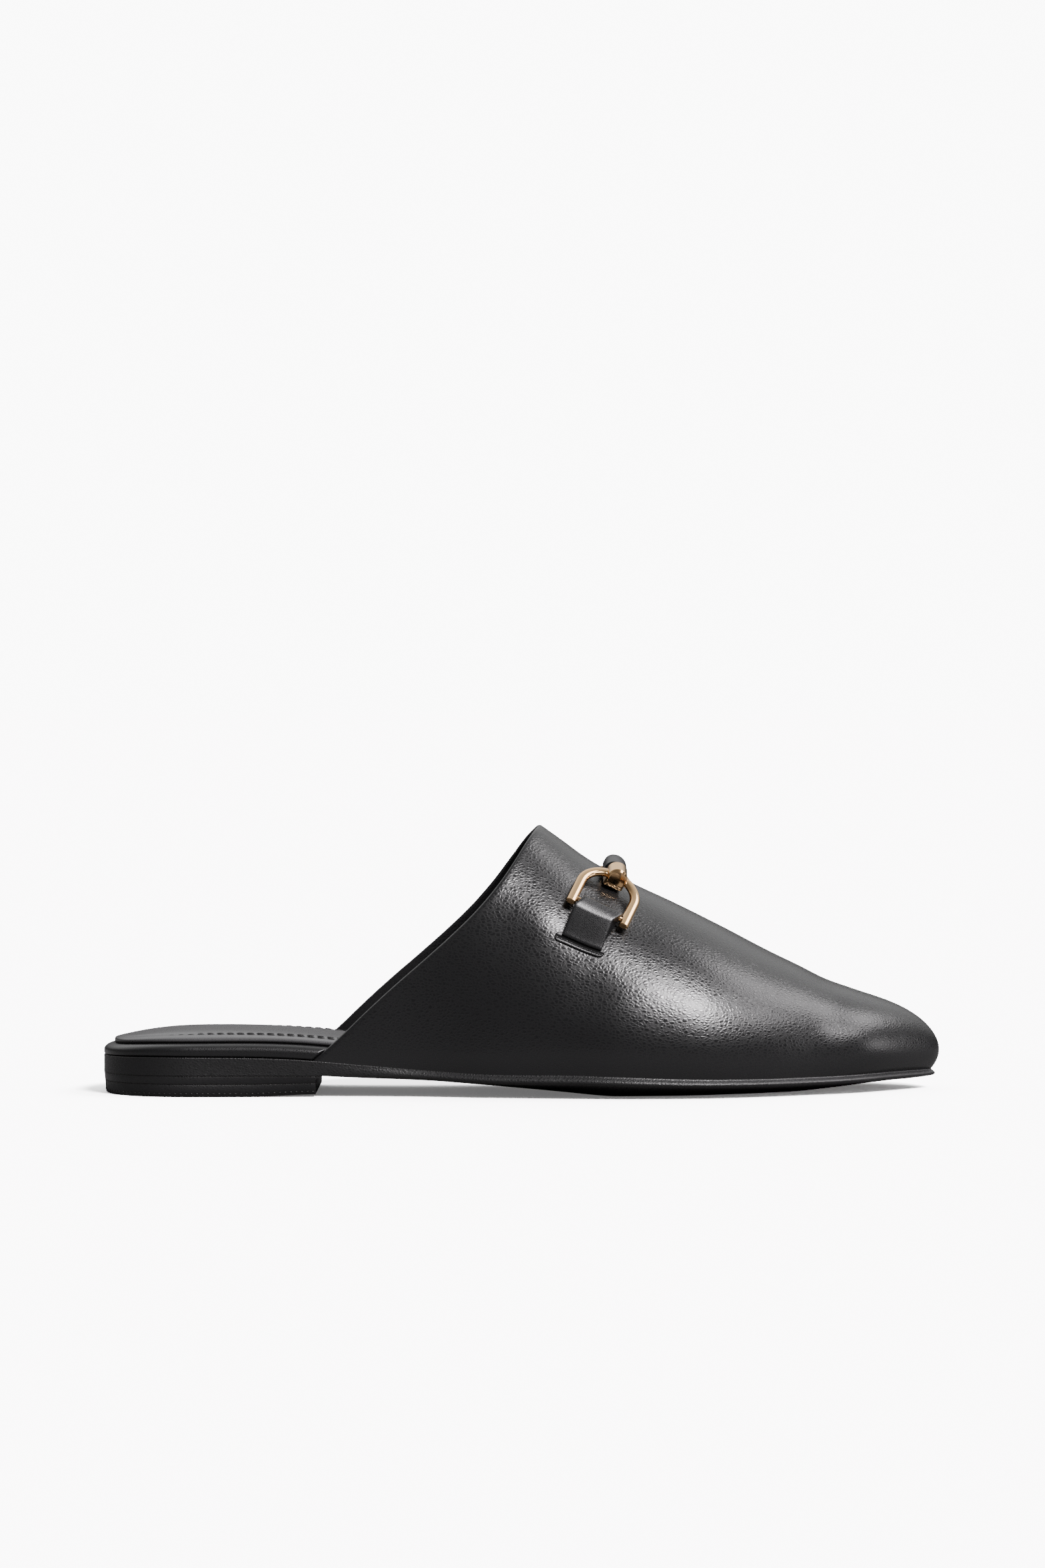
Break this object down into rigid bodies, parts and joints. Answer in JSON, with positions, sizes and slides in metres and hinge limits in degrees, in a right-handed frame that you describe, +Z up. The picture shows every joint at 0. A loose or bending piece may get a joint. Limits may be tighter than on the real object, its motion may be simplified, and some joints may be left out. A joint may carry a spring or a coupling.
{
  "type": "loafer mule",
  "caption": "Backless leather loafer mule for the right foot, with an almond toe, low stacked heel and a metal snaffle ornament on the instep.",
  "frame": {"origin": "on the floor under the middle of the shoe's box", "axes": "+X towards the toe, +Y towards the inner side of the right foot, +Z up"},
  "size_m": [0.262, 0.084, 0.0834],
  "materials": {
    "upper_leather": "semi-gloss pebbled black leather",
    "sole": "matt black, burnished edge",
    "top_lift": "matt black rubber",
    "footbed_leather": "semi-gloss black leather wrap",
    "sock_leather": "smooth satin black leather",
    "pale_gold": "polished pale gold plate"
  },
  "bodies": {
    "root": {"upper": "upper_leather", "outsole": "sole", "heel": "sole", "top_lift": "top_lift", "footbed": "footbed_leather", "sock": "sock_leather", "bit_bar": "upper_leather", "bit_cap_outer": "pale_gold", "bit_ring_outer": "pale_gold", "bit_tab_outer": "upper_leather", "bit_cap_inner": "pale_gold", "bit_ring_inner": "pale_gold", "bit_tab_inner": "upper_leather"}
  },
  "joints": []
}
